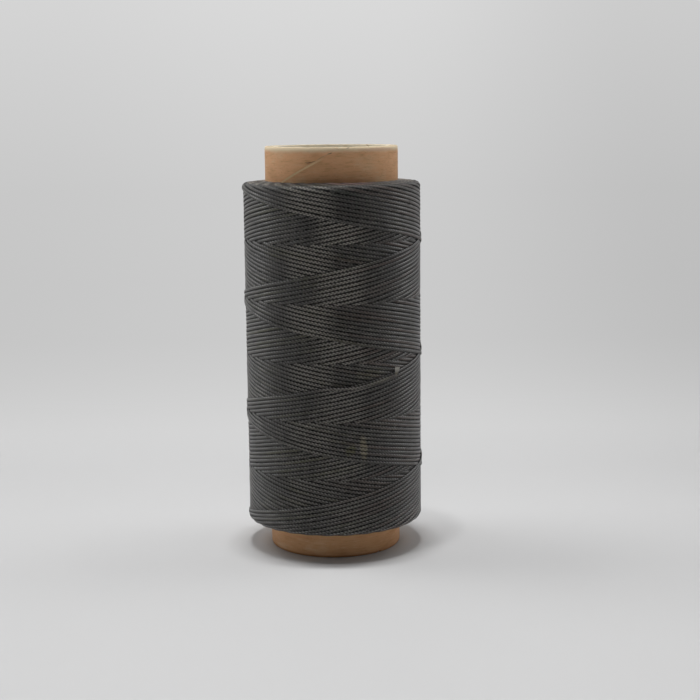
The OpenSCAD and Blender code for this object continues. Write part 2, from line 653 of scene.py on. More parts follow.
@dataclass(frozen=True)
class WaxedBraid(Finish):
    """Dark flat braid under a coat of wax.

    It reads the map "Strand": first the distance along the thread in millimetres,
    then the place around its section, with 0 and 1 inside and 0.5 outside.

    Attributes:
        radius: radius of the package, in millimetres.
        body: colour of the dyed braid.
        olive: strands where the wax lies thick.
        umber: strands with a warmer dye.
        pale_tone: wax that has turned pale, and the colour of the painted sheen and of the painted
            reflection at the ends.
        dark: colour of the painted shade between the strands and the plaits.
        plait: length of one plait, in millimetres.
        shade: how dark the painted shade on the flanks of the strands is.
        painted_side_sheen: how pale the flanks at the ends of the package are made at its left and
            right, as painted reflection.
        wax: how much the wax shines.
        double: length of thread in one stroke up and down, or 0 where no sheen is painted.
        sheen_angle: angle at which the painted sheen on the strokes of one way is palest, in
            degrees.
        sheen_step: how much further on the strokes of the other way do.
        sheen_half: half the angle over which they do.
        fans: how the strands fan in over the ends of the package.
        marks: flecks and stains of wax, and a pinkish painted reflection along the top of the
            package.
    """

    radius: float
    fans: tuple[Fan, ...]
    body: Colour = tint("#464441")
    olive: Colour = tint("#4c4c34")
    umber: Colour = tint("#513e36")
    pale_tone: Colour = tint("#a9a49b")
    dark: Colour = tint("#0b0a09")
    plait: float = 1.05
    shade: float = 0.96
    painted_side_sheen: float = 0.0
    wax: float = 1.0
    double: float = 0.0
    sheen_angle: float = -15.0
    sheen_step: float = 20.0
    sheen_half: float = 13.0
    marks: tuple[Mark, ...] = (
        Mark(18.4, 33.3, 1.3, 4.2, tint("#b3a884"), 0.42, -0.6),
        Mark(10.0, 32.8, 1.9, 1.8, tint("#66653c"), 0.55, 0.3),
        Mark(24.0, 54.0, 5.5, 1.8, tint("#66644a"), 0.40, 0.1),
        Mark(30.0, 51.8, 5.0, 0.7, tint("#7d7863"), 0.40, 0.2),
        Mark(-24.0, 87.0, 9.0, 1.0, tint("#5d5d3c"), 0.35, -0.2),
        Mark(2.0, 104.0, 9.0, 1.0, tint("#2f3d31"), 0.40, -0.1),
        # Painted reflection: a pinkish band along the top of the package.
        Mark(14.0, 106.4, 12.0, 0.7, tint("#a8857c"), 0.45, 0.0),
    )

    def paint(self, sheet: NodeSheet) -> None:
        """Lays out plaits, slow changes of tone and the wax, with painted shade, a painted sheen
        and painted reflections.
        """
        point = sheet.place()
        along, around_it, _ = sheet.split(sheet.map("Strand"))
        side = (around_it * math.tau).sine()
        outward = (around_it * math.tau + math.pi / 2).sine() * -1.0
        half = side.above(0.0)
        phase = along / self.plait + side.size() * 0.55 + half * 0.5
        plaits = (phase * math.tau).sine() * 0.5 + 0.5
        yarns = ((along / 0.21 + side.size() * 2.3) * math.tau).sine() * 0.5 + 0.5
        slow = sheet.grain(sheet.join(along * 0.012, 0.0, 0.0), detail=3, roughness=0.6)
        tone = sheet.grain(sheet.join(along * 0.03, 7.3, 0.0), detail=2)
        fine = sheet.grain(point, 3000, detail=3, roughness=0.65)
        smear = sheet.grain(sheet.join(along * 0.35, side * 0.8, 3.1), detail=4, roughness=0.6)
        x, y, z = sheet.split(point)
        turn = x.turn(y)
        clouds = sheet.grain(point, 55, detail=2)
        olive = slow.rise(0.46, 0.66) * x.rise(0.020, -0.004)
        umber = tone.rise(0.44, 0.64) * x.rise(-0.012, 0.016)
        pale_tone = smear.rise(0.42, 0.70) * clouds.rise(0.38, 0.58) * plaits
        colour = sheet.layers(
            self.body,
            (self.olive, olive * clouds.rise(0.35, 0.55) * 0.85),
            (self.umber, umber * 0.6),
            *((mark.tone, mark.cover(self.radius, turn, z, fine)) for mark in self.marks),
            (self.pale_tone, pale_tone * 0.45),
            (self.pale_tone, fine.rise(0.58, 0.72) * 0.20),
        )
        # Painted sheen: the strokes of each way are made pale around one angle near the front,
        # where they would catch the lamps; it stays there when the spool is turned.
        if self.double:
            slash = (along / -self.double + 0.25).fraction().above(0.5)
            off = turn - slash * math.radians(self.sheen_step)
            off = off / math.radians(self.sheen_half) - self.sheen_angle / self.sheen_half
            sheen = (off * off).rise(2.2, 0.0) * smear.rise(0.22, 0.52) * plaits.rise(0.10, 0.80)
            sheen = sheen * outward.rise(0.30, 0.90) * z.rise(-0.02, 0.10)
            colour = sheet.mix(colour, self.pale_tone, sheen * 0.95)
        # Painted shade on the flanks of the strands, between them, and in the hollows between the
        # plaits.
        groove = outward.rise(0.82, 0.26)
        colour = sheet.layers(colour, (self.dark, plaits.rise(0.40, 0.0) * 0.55),
                              (self.dark, groove * self.shade))
        # Painted reflection: the flanks at the ends are made pale at the left and right of the
        # package.
        if self.painted_side_sheen:
            painted_side_sheen = fine.rise(0.12, 0.45) * x.size().rise(0.008, 0.018) * self.painted_side_sheen
            colour = sheet.mix(colour, self.pale_tone, groove * painted_side_sheen)
        # Painted shade in the gaps where the strands fan in over the ends.
        gaps = ((self.dark, fan.gaps(sheet, point) * 0.85) for fan in self.fans)
        colour = sheet.layers(colour, *gaps)
        normal = sheet.bump(plaits * 0.8 + yarns * 0.2, 0.14, 0.9)
        normal = sheet.bump(fine, 0.012, 0.6, normal)
        polish = smear.rise(0.28, 0.54) * plaits.rise(0.15, 0.75) * outward.rise(0.05, 0.30)
        polish = polish * side.rise(-0.05, 0.35) * z.rise(0.1050, 0.1032)
        sheet.surface({
            "Base Color": colour,
            "Roughness": smear.maths("MULTIPLY_ADD", 0.30, 0.26) + groove * 0.3,
            "Specular IOR Level": 0.5 * self.wax,
            "Coat Weight": polish * self.wax,
            "Coat Roughness": 0.30,
            "Coat IOR": 2.05,
            "Normal": normal,
        })


@dataclass(frozen=True)
class BuriedTurns(Finish):
    """The dark layers below the outer turns, with the ridges of their strands and painted shade
    between them.

    Attributes:
        body: colour of the braid.
        dark: colour between the strands.
        pitch: distance between two strands, in millimetres.
    """

    body: Colour = tint("#2c2a28")
    # dark: colour of the painted shade between the strands.
    dark: Colour = tint("#0e0d0c")
    pitch: float = 1.13

    def paint(self, sheet: NodeSheet) -> None:
        """Lays out ridges that follow the turns."""
        point = sheet.place()
        x, y, z = sheet.split(point)
        turn = x.turn(y) / math.tau
        strands = z / (MM * self.pitch) - turn * 29.0
        ridge = (strands * math.tau).sine() * 0.5 + 0.5
        fine = sheet.grain(point, 2500, detail=3, roughness=0.65)
        # Painted shade between the ridges.
        colour = sheet.mix(self.dark, self.body, ridge * 0.8 + fine * 0.2)
        sheet.surface({
            "Base Color": colour,
            "Roughness": 0.6,
            "Normal": sheet.bump(ridge + fine * 0.2, 0.15, 0.8),
        })


@dataclass(frozen=True)
class FrayedBraid(Finish):
    """Pale broken filaments at the cut end of the thread.

    Attributes:
        root: colour where the filaments leave the braid.
        tip: colour of the bare tips.
        bend_height: height at which the braid gives way to the tips, in millimetres.
    """

    root: Colour = tint("#7d786b")
    tip: Colour = tint("#cbc8c1")
    bend_height: float = 53.2

    def paint(self, sheet: NodeSheet) -> None:
        """Lays out a change from waxed braid to bare filament."""
        point = sheet.place()
        _, _, z = sheet.split(point)
        start = self.bend_height * MM
        streaks = sheet.grain(sheet.scaled(point, 3000, 3000, 900), detail=3, roughness=0.6)
        colour = sheet.layers(self.root, (self.tip, z.rise(start, start + 0.0012)),
                              (self.root, streaks.rise(0.5, 0.75) * 0.5))
        sheet.surface({
            "Base Color": colour,
            "Roughness": streaks.maths("MULTIPLY_ADD", 0.2, 0.5),
            "Normal": sheet.bump(streaks, 0.03, 0.7),
        })


# ---------------------------------------------------------------------------
# Meshes
# ---------------------------------------------------------------------------


def link(name: str, mesh: bpy.types.Mesh, finish: Finish) -> bpy.types.Object:
    """Puts a mesh into the scene.

    Args:
        name: the piece's name.
        mesh: its mesh, in metres and in place.
        finish: what it wears.

    Returns:
        The piece.
    """
    mesh.name = name
    mesh.materials.clear()
    mesh.materials.append(finish.material())
    made = bpy.data.objects.new(name, mesh)
    bpy.context.scene.collection.objects.link(made)
    return made


def finish_mesh(bm: bmesh.types.BMesh) -> bpy.types.Mesh:
    """Closes doubles, points the faces outwards, shades them smooth and frees the bmesh.

    Args:
        bm: the mesh that is being built.

    Returns:
        The finished mesh.
    """
    bmesh.ops.remove_doubles(bm, verts=bm.verts, dist=MERGE)
    bmesh.ops.recalc_face_normals(bm, faces=bm.faces)
    for face in bm.faces:
        face.smooth = True
    mesh = bpy.data.meshes.new("piece")
    bm.to_mesh(mesh)
    bm.free()
    return mesh


def attach(piece: bpy.types.Object, slot: Slot, *nodes: str) -> None:
    """Rides a piece on the spool, in place of these nodes.

    Args:
        piece: the piece.
        slot: the material slot that it stands for; not used.
        nodes: the nodes that it replaces.
    """
    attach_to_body(piece, BODY)
    if nodes:
        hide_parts(*nodes)
    log.info("%s: %d faces", piece.name, len(piece.data.polygons))


@dataclass
class PaperRing:
    """A ply that is a plain tube, with worn edges at its cut ends.

    Attributes:
        inner: inner radius, in millimetres.
        outer: outer radius.
        height: its height.
        wear: how deep its cut ends are worn.
        seed: where the wear is read from.
        shoulder: how far its outer edges are rounded inwards.
        steps: steps around it.
    """

    inner: float
    outer: float
    height: float
    wear: float = 0.14
    seed: float = 0.0
    shoulder: float = 0.0
    steps: int = 216

    def mesh(self) -> bpy.types.Mesh:
        """The ring, spun from its section and worn at its ends."""
        bm = bmesh.new()
        made = [bm.verts.new((0.0, -r * MM, z * MM)) for r, z in self._corners()]
        edges = [bm.edges.new((made[i], made[i - 1])) for i in range(len(made))]
        bmesh.ops.spin(bm, geom=made + edges, cent=(0, 0, 0), axis=(0, 0, 1), dvec=(0, 0, 0),
                       angle=math.tau, steps=self.steps, use_merge=True, use_duplicate=False)
        bmesh.ops.remove_doubles(bm, verts=bm.verts, dist=MERGE)
        rims = [e for e in bm.edges if self._on_rim(e)]
        bmesh.ops.bevel(bm, geom=rims, offset=min(0.09, (self.outer - self.inner) / 4) * MM,
                        offset_type="OFFSET", affect="EDGES", segments=2, profile=0.5,
                        material=-1)
        self._wear(bm)
        return finish_mesh(bm)

    def _corners(self) -> list[tuple[float, float]]:
        """Corners of its section, as radius and height."""
        rise = [z for z in (0.0, 0.1, 0.3, 0.6, 1.0) if self.shoulder or z == 0.0]
        low = [(self.outer - self.shoulder * rounding(1.0 - z), z) for z in rise]
        high = [(r, self.height - z) for r, z in reversed(low)]
        return [(self.inner, 0.0), *low, *high, (self.inner, self.height)]

    def _on_rim(self, edge: bmesh.types.BMEdge) -> bool:
        """True for an edge that runs around a cut end."""
        a, b = edge.verts
        if abs(a.co.z - b.co.z) > MERGE or abs(a.co.xy.length - b.co.xy.length) > MERGE:
            return False
        return min(abs(a.co.z), abs(a.co.z - self.height * MM)) < 1e-6

    def _wear(self, bm: bmesh.types.BMesh) -> None:
        """Lowers the cut ends here and there."""
        for v in bm.verts:
            end = self.height * MM if v.co.z > self.height * MM / 2 else 0.0
            if abs(v.co.z - end) < 0.5 * MM:
                worn = 0.5 + 0.5 * noise.noise(Vector((v.co.x * 330, v.co.y * 330, self.seed)))
                worn += 0.3 * noise.noise(Vector((v.co.x * 1500, v.co.y * 1500, self.seed)))
                v.co.z += math.copysign(max(worn, 0.0) * self.wear * MM, 0.5 * MM - end)


@dataclass
class OuterStrip:
    """The kraft strip that is wound on the tube, with an open butt seam.

    Attributes:
        radius: outer radius of the tube, in millimetres.
        thickness: thickness of the paper.
        seam: where the seam lies.
        gap: width of the open seam, along the axis.
        tip: height of the strip's two tips.
        lip: how far the strip's upper edge stands out along the seam.
        shoulder: how far its cut ends are rounded inwards.
        columns: steps along the strip.
        rows: steps across it.
    """

    radius: float
    thickness: float
    seam: SpiralSeam
    gap: float = 0.09
    tip: float = 0.5
    lip: float = 0.10
    shoulder: float = 0.36
    columns: int = 560
    rows: int = 44

    def _edges(self, angle: float) -> tuple[float, float]:
        """Lower and upper edge of the strip at an angle that counts on from its foot."""
        top = self.seam.height
        climb = (angle - self.foot) * self.seam.lead / 360.0
        low = max(0.0, min(top - self.tip, climb - self.seam.lead + self.gap))
        return low, min(top, max(self.tip, climb))

    @property
    def foot(self) -> float:
        """Angle at which the seam leaves the foot of the tube."""
        return self.seam.top_angle - self.seam.height * 360.0 / self.seam.lead

    def mesh(self) -> bpy.types.Mesh:
        """The strip, bent from a flat grid and given its thickness."""
        rate = self.seam.lead / 360.0
        first = self.foot + self.tip / rate
        last = self.foot + (self.seam.height + self.seam.lead - self.gap - self.tip) / rate
        bm = bmesh.new()
        bmesh.ops.create_grid(bm, x_segments=self.columns, y_segments=self.rows, size=0.5)
        for v in bm.verts:
            angle = first + (last - first) * (v.co.x + 0.5)
            low, high = self._edges(angle)
            share = 0.5 - 0.5 * math.cos(math.pi * (v.co.y + 0.5))
            v.co = self._bend(angle, low, high, share)
        bmesh.ops.recalc_face_normals(bm, faces=bm.faces)
        some = next(iter(bm.faces))
        centre = some.calc_center_median()
        if some.normal.dot(Vector((centre.x, centre.y, 0.0))) < 0:
            bmesh.ops.reverse_faces(bm, faces=bm.faces)
        bmesh.ops.solidify(bm, geom=bm.faces[:], thickness=self.thickness * MM)
        return finish_mesh(bm)

    def _bend(self, angle: float, low: float, high: float, share: float) -> Vector:
        """Where a point of the flat strip comes to lie on the tube.

        Args:
            angle: its angle, which counts on from the strip's foot.
            low: height of the strip's lower edge there.
            high: height of its upper edge there.
            share: 0 on the lower edge and 1 on the upper.

        Returns:
            The point in metres.
        """
        height = low + (high - low) * share
        here = around(1.0, angle, height)
        ragged = noise.noise(Vector((here.x * 3000, here.y * 3000, height * 0.9)))
        radius = self.radius - 0.03 + 0.03 * ragged
        below_edge = high - height
        if high < self.seam.height:
            radius += self.lip * math.exp(-((below_edge / 0.45) ** 2)) * (0.8 + 0.6 * ragged)
        if low > 0.0:
            radius += 0.4 * self.lip * math.exp(-(((height - low) / 0.5) ** 2)) * (0.6 + ragged)
        for end in (0.0, self.seam.height):
            radius -= self.shoulder * rounding(max(0.0, 1.0 - abs(height - end)))
            if abs(height - end) < 0.02:
                height += math.copysign(0.10 + 0.07 * ragged, 0.5 - end)
        return around(radius, angle, height)


@dataclass
class PaperTube:
    """The spiral paper tube: a liner, four plies of board and the kraft strip."""

    height: float = field(default_factory=lambda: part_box("liner_ply")[1].z / MM)
    bore: float = field(default_factory=lambda: frame["record"]["mounts"][0]["dims"]["r_mm"])
    outer: float = field(default_factory=lambda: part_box("outer_ply")[1].x / MM)
    core_names: tuple[str, ...] = ("core_ply_1", "core_ply_2", "core_ply_3", "core_ply_4")
    seam_lead: float = 60.5
    seam_top_angle: float = 9.0
    liner_lead: float = 66.0
    liner_top_angle: float = 140.0

    def build(self) -> None:
        """Builds the six plies from the bore outwards."""
        inner = self.bore
        for number, name in enumerate(("liner_ply", *self.core_names)):
            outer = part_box(name)[1].x / MM
            shoulder = 0.45 if name == self.core_names[-1] else 0.0
            ring = PaperRing(inner, outer, self.height, seed=number * 3.7, shoulder=shoulder)
            if name == "liner_ply":
                finish = LinerPaper("liner paper", SpiralSeam(self.liner_lead,
                                                             self.liner_top_angle, self.height))
                slot = Slot.LINER
            else:
                finish = CutBoard("cut board")
                slot = Slot.CORE
            attach(link(f"{name}_paper", ring.mesh(), finish), slot, name)
            inner = outer
        seam = SpiralSeam(self.seam_lead, self.seam_top_angle, self.height)
        strip = OuterStrip(self.outer, self.outer - inner, seam)
        attach(link("outer_ply_kraft", strip.mesh(), KraftPaper("kraft paper", seam, self.outer)),
               Slot.KRAFT, "outer_ply")


# ---------------------------------------------------------------------------
# Thread
# ---------------------------------------------------------------------------


@dataclass
class Route:
    """A stretch of the thread.

    Attributes:
        points: its middle line in metres, one row for each ring.
        lean: roll of its section at each ring, in radians.
        scale: size of its section at each ring.
        start: distance along the whole thread where it begins, in millimetres.
        spacing: distance between two rings, in millimetres.
    """

    points: np.ndarray
    lean: np.ndarray
    scale: np.ndarray
    start: float = 0.0
    spacing: float = 1.0


@dataclass
class CrossWinding:
    """Route of the thread, which travels from end to end of the package and back.

    The thread is followed back from its newest turning at the low end by an angle in
    degrees, back. Where back is negative, the thread is on its last stroke, upwards.
    Strokes are numbered from the newest. Lengths are in millimetres.

    Attributes:
        package_low: height of the package's lower end.
        package_high: height of its upper end, at the tube.
        tube: radius of the tube.
        top_fall: how far the upper end falls from the tube to the rim.
        low: height at which the strokes would turn at the low end if they turned sharply.
        high: the same at the high end.
        low_round: half the angle over which the thread turns at the low end.
        high_round: the same at the high end.
        lead: climb in one turn around the package.
        stroke: angle of one stroke from end to end.
        newest_low: angle of the newest turning at the low end.
        outer: radius of the newest stroke's middle.
        thickness: thickness of the thread.
        low_rim: rounding of the package's lower rim.
        high_rim: rounding of its upper rim.
        overlap: how far a turn stands out where it has just turned over the older ones.
        overlap_reach: angle over which it sinks back, in degrees.
        last_angle: angle past the newest turning at which the thread ends.
        sag: how far the slack last turn has slipped down at its end.
        sag_from: angle at which it begins to slip.
        sag_to: angle at which it would have slipped all the way.
        seed: start of the random wavers.
    """

    package_low: float
    package_high: float
    tube: float
    top_fall: float = 0.65
    low: float = 7.99
    high: float = 106.06
    low_round: float = 15.0
    high_round: float = 14.0
    lead: float = 32.88
    stroke: float = 1073.85
    newest_low: float = -106.7
    outer: float = 25.45
    thickness: float = 0.35
    low_rim: float = 1.5
    high_rim: float = 1.4
    overlap: float = 0.22
    overlap_reach: float = 11.0
    last_angle: float = 402.0
    sag: float = 1.55
    sag_from: float = 350.0
    sag_to: float = 377.0
    seed: int = 11

    @property
    def rise(self) -> float:
        """Climb in one degree."""
        return self.lead / 360.0

    @property
    def shift(self) -> float:
        """Angle by which each double stroke lies further on than the one before."""
        return 2160.0 - 2.0 * self.stroke

    @property
    def strands(self) -> float:
        """Strands side by side in one lead."""
        return 360.0 / self.shift

    @property
    def pitch(self) -> float:
        """Distance along the axis between two strands side by side."""
        return self.rise * self.shift

    @property
    def degree(self) -> float:
        """Length of thread in one degree."""
        return math.hypot(self.outer * math.radians(1.0), self.rise)

    def fan(self, high: bool) -> Fan:
        """How the strands fan in over the high or the low end."""
        if high:
            return Fan(self.newest_low - self.stroke, self.high, self.shift, self.pitch, self.outer)
        return Fan(self.newest_low, self.low, self.shift, -self.pitch, self.outer)

    def _from_low(self, back: np.ndarray) -> np.ndarray:
        """Angle to the nearest turning at the low end."""
        return self.stroke - np.abs(np.abs(back) % (2.0 * self.stroke) - self.stroke)

    def height(self, back: np.ndarray) -> np.ndarray:
        """Height of the thread's middle, rounded at the turnings."""
        low = self._from_low(back)
        high = self.stroke - low
        z = self.low + self.rise * low
        turn = self.rise * (low ** 2 + self.low_round ** 2) / (2.0 * self.low_round)
        z = np.where(low < self.low_round, self.low + turn, z)
        turn = self.rise * (high ** 2 + self.high_round ** 2) / (2.0 * self.high_round)
        return np.where(high < self.high_round, self.high - turn, z)

    def radius(self, back: np.ndarray) -> np.ndarray:
        """Distance of the thread's middle from the axis.

        A strand lies on the strands of the other way that are older, and under the newer
        ones, so it climbs by one thickness where it comes out from under the newer ones.

        Args:
            back: angles along the thread.

        Returns:
            The distances.
        """
        angle = self.newest_low - back
        double = np.floor(back / (2.0 * self.stroke))
        upward = back - double * 2.0 * self.stroke > self.stroke
        number = np.where(upward, double + 1.0, double)
        z = self.low + self.rise * self._from_low(back)
        met_down = (z + self.rise * (angle - self.newest_low) - self.low) / self.pitch
        met_up = (self.low - z + self.rise * (angle - self.newest_low)) / self.pitch
        passed = np.where(upward, met_down - number, met_up - number - 1.0)
        passed = np.mod(passed + 0.5, self.strands)
        nearest = np.where(passed < self.strands / 2, passed, passed - self.strands)
        climbing = ease(nearest, -0.5, 0.5)
        through = (self.strands - 0.5) * (1.0 - climbing) + 0.5 * climbing
        passed = np.where(np.abs(nearest) < 0.5, through, passed)
        return self.outer - self.thickness / self.strands * (2.0 * number + passed)

    def _overlap(self, back: np.ndarray) -> np.ndarray:
        """How far the thread stands out because it has just turned over older turns."""
        past_low = self.stroke - np.mod(back + self.stroke, 2.0 * self.stroke)
        past_high = self.stroke - np.mod(back, 2.0 * self.stroke)
        near = sum(np.exp(-((past - 2.0) / self.overlap_reach) ** 2)
                   for past in (past_low, past_high))
        return self.overlap * near

    def _wander(self, count: int, every: float, seed: int) -> np.ndarray:
        """Smooth random values, one for each ring.

        Args:
            count: how many rings there are.
            every: rings between two random values.
            seed: which values they are.

        Returns:
            The values, mostly from -1 to 1.
        """
        values = np.random.default_rng(seed).normal(0.0, 0.5, int(count / every) + 4)
        place = np.arange(count) / every
        whole = place.astype(int)
        part = place - whole
        part = part * part * (3.0 - 2.0 * part)
        return values[whole] * (1.0 - part) + values[whole + 1] * part

    def route(self, back: np.ndarray, seed: int, waver: float = 1.0) -> Route:
        """Follows the thread along angles that fall, so from older to newer turns.

        Args:
            back: evenly spaced angles.
            seed: which small wavers the strand has.
            waver: how strong they are.

        Returns:
            The stretch of thread.
        """
        count = len(back)
        z = self.height(back)
        r = self.radius(back)
        kernel = np.exp(-0.5 * (np.arange(-4, 5) / 1.6) ** 2)
        kernel /= kernel.sum()
        r = np.convolve(np.pad(r, 4, mode="edge"), kernel, mode="valid")
        z = z + waver * 0.10 * self._wander(count, 26, seed)
        r = r + waver * 0.05 * self._wander(count, 17, seed + 1) + self._overlap(back)
        angle = self.newest_low - back
        slack = self.sag * ease(angle, self.sag_from, self.sag_to)
        r = r + self.thickness * ease(slack, 0.1, 0.8)
        fall = self.top_fall * (r - self.tube) / (self.outer - self.tube)
        z = z - slack + (self.top_fall - fall) * ease(z, self.high - 8.0, self.high - 2.0)
        from_low = z - self.package_low
        from_high = self.package_high - fall - z
        rim = np.where(from_low < from_high, self.low_rim, self.high_rim)
        near = np.clip(np.minimum(from_low, from_high), 0.0, rim)
        r = r - (rim - np.sqrt(rim ** 2 - (rim - near) ** 2))
        roll = np.arcsin((rim - near) / rim) * 0.85
        lean = np.where(from_low < from_high, roll, -roll)
        scale = 1.0 + 0.045 * np.where(np.arange(count) % 2 == 0, 1.0, -1.0)
        a = np.radians(angle)
        points = np.column_stack([r * np.sin(a), -r * np.cos(a), z]) * MM
        return Route(points, lean, scale)


@dataclass
class Sweeper:
    """Sweeps the flat section of the thread along routes.

    Attributes:
        width: width of the thread, in millimetres.
        thickness: its thickness.
        corners: corners of the section, as shares of half the thickness and half the
            width, from the inside round past the upper edge.
    """

    width: float
    thickness: float
    corners: tuple[tuple[float, float], ...] = (
        (-1.0, 0.0), (-0.7, 0.8), (0.1, 1.0), (0.62, 0.84), (0.9, 0.5),
        (1.0, 0.0), (0.9, -0.5), (0.62, -0.84), (0.1, -1.0), (-0.7, -0.8),
    )

    def _section(self) -> bpy.types.Object:
        """The section as a closed flat curve."""
        curve = bpy.data.curves.new("section", "CURVE")
        curve.dimensions = "2D"
        spline = curve.splines.new("POLY")
        spline.points.add(len(self.corners) - 1)
        for point, (out, up) in zip(spline.points, self.corners):
            point.co = (out * self.thickness / 2 * MM, up * self.width / 2 * MM, 0.0, 1.0)
        spline.use_cyclic_u = True
        made = bpy.data.objects.new("section", curve)
        bpy.context.scene.collection.objects.link(made)
        return made

    def mesh(self, routes: Sequence[Route], cells: int) -> bpy.types.Mesh:
        """Sweeps the section along each route and closes the ends.

        Args:
            routes: the stretches of thread.
            cells: cells of the atlas that each route is cut into.

        Returns:
            The mesh, with the maps "Strand" and "OFBake".
        """
        section = self._section()
        curve = bpy.data.curves.new("sweep", "CURVE")
        curve.dimensions = "3D"
        curve.twist_mode = "Z_UP"
        curve.bevel_mode = "OBJECT"
        curve.bevel_object = section
        curve.use_fill_caps = True
        for route in routes:
            spline = curve.splines.new("POLY")
            spline.points.add(len(route.points) - 1)
            rows = np.column_stack([route.points, np.ones(len(route.points))])
            spline.points.foreach_set("co", rows.astype(np.float32).ravel())
            spline.points.foreach_set("radius", route.scale.astype(np.float32))
            spline.points.foreach_set("tilt", route.lean.astype(np.float32))
            spline.use_smooth = True
        sweep = bpy.data.objects.new("sweep", curve)
        bpy.context.scene.collection.objects.link(sweep)
        graph = bpy.context.evaluated_depsgraph_get()
        mesh = bpy.data.meshes.new_from_object(sweep.evaluated_get(graph))
        for used in (sweep, section):
            data = used.data
            bpy.data.objects.remove(used)
            bpy.data.curves.remove(data)
        StripAtlas(len(self.corners), cells).lay_out(mesh, routes)
        bm = bmesh.new()
        bm.from_mesh(mesh)
        bpy.data.meshes.remove(mesh)
        return finish_mesh(bm)


@dataclass
class StripAtlas:
    """Lays the strips of a swept mesh out in rows of cells.

    Attributes:
        corners: corners of the swept section.
        cells: cells that each strip is cut into.
        margin: share of a cell that stays free on each side.
    """

    corners: int
    cells: int
    margin: float = 0.06

    def lay_out(self, mesh: bpy.types.Mesh, routes: Sequence[Route]) -> None:
        """Writes the maps "Strand" and "OFBake".

        The swept mesh has the triangles of its caps first, and then each route's
        quads, ring by ring.

        Args:
            mesh: the swept mesh, straight from its curve.
            routes: the routes that it was swept along.
        """
        raw = np.empty(len(mesh.loops) * 2, np.float32)
        mesh.uv_layers[0].data.foreach_get("uv", raw)
        raw = raw.reshape(-1, 2).astype(np.float64)
        caps = len(routes) * 2 * (self.corners - 2)
        cap_loops = caps * 3
        strand = np.zeros_like(raw)
        atlas = np.zeros_like(raw)
        total = len(routes) * self.cells
        mean = np.mean([len(r.points) for r in routes]) / self.cells
        columns = max(1, round(math.sqrt(total * 5.2 / mean)))
        rows = math.ceil(total / columns) + 1
        first = cap_loops
        for number, route in enumerate(routes):
            rings = len(route.points) - 1
            loops = slice(first, first + rings * self.corners * 4)
            first = loops.stop
            along = np.repeat(np.arange(rings), self.corners * 4)
            part = raw[loops, 0] * rings
            strand[loops, 0] = route.start + np.round(part) * route.spacing
            strand[loops, 1] = raw[loops, 1]
            per_cell = math.ceil(rings / self.cells)
            cell = along // per_cell
            inside = (part - cell * per_cell) / per_cell
            cell = cell + number * self.cells
            atlas[loops, 0] = self._within(inside, cell % columns, columns)
            atlas[loops, 1] = self._within(raw[loops, 1], cell // columns, rows)
        self._caps(raw, atlas, strand, caps, rows)
        self._write(mesh, "Strand", strand)
        self._write(mesh, "OFBake", atlas)
        mesh.uv_layers.remove(mesh.uv_layers[0])

    def _within(self, share: np.ndarray, cell: np.ndarray, count: int) -> np.ndarray:
        """Places a share of a cell in its row or column."""
        return (cell + self.margin + share * (1.0 - 2.0 * self.margin)) / count

    def _caps(self, raw: np.ndarray, atlas: np.ndarray, strand: np.ndarray, caps: int,
              rows: int) -> None:
        """Places the caps side by side in the last row.

        Args:
            raw: the curve's own map.
            atlas: the map for baking, which is filled in.
            strand: the map along the thread, which is filled in.
            caps: how many triangles the caps have.
            rows: how many rows the atlas has.
        """
        loops = caps * 3
        turn = np.round(raw[:loops, 0] * (self.corners - 1)) * math.tau / self.corners
        each = (self.corners - 2) * 3
        cap = np.arange(loops) // each
        count = caps // (self.corners - 2)
        atlas[:loops, 0] = (cap + 0.5 + 0.4 * np.cos(turn)) / count
        atlas[:loops, 1] = (rows - 0.5 + 0.4 * np.sin(turn)) / rows
        strand[:loops, 1] = turn / math.tau

    @staticmethod
    def _write(mesh: bpy.types.Mesh, name: str, values: np.ndarray) -> None:
        """Adds a map with these values."""
        layer = mesh.uv_layers.new(name=name)
        layer.data.foreach_set("uv", values.astype(np.float32).ravel())


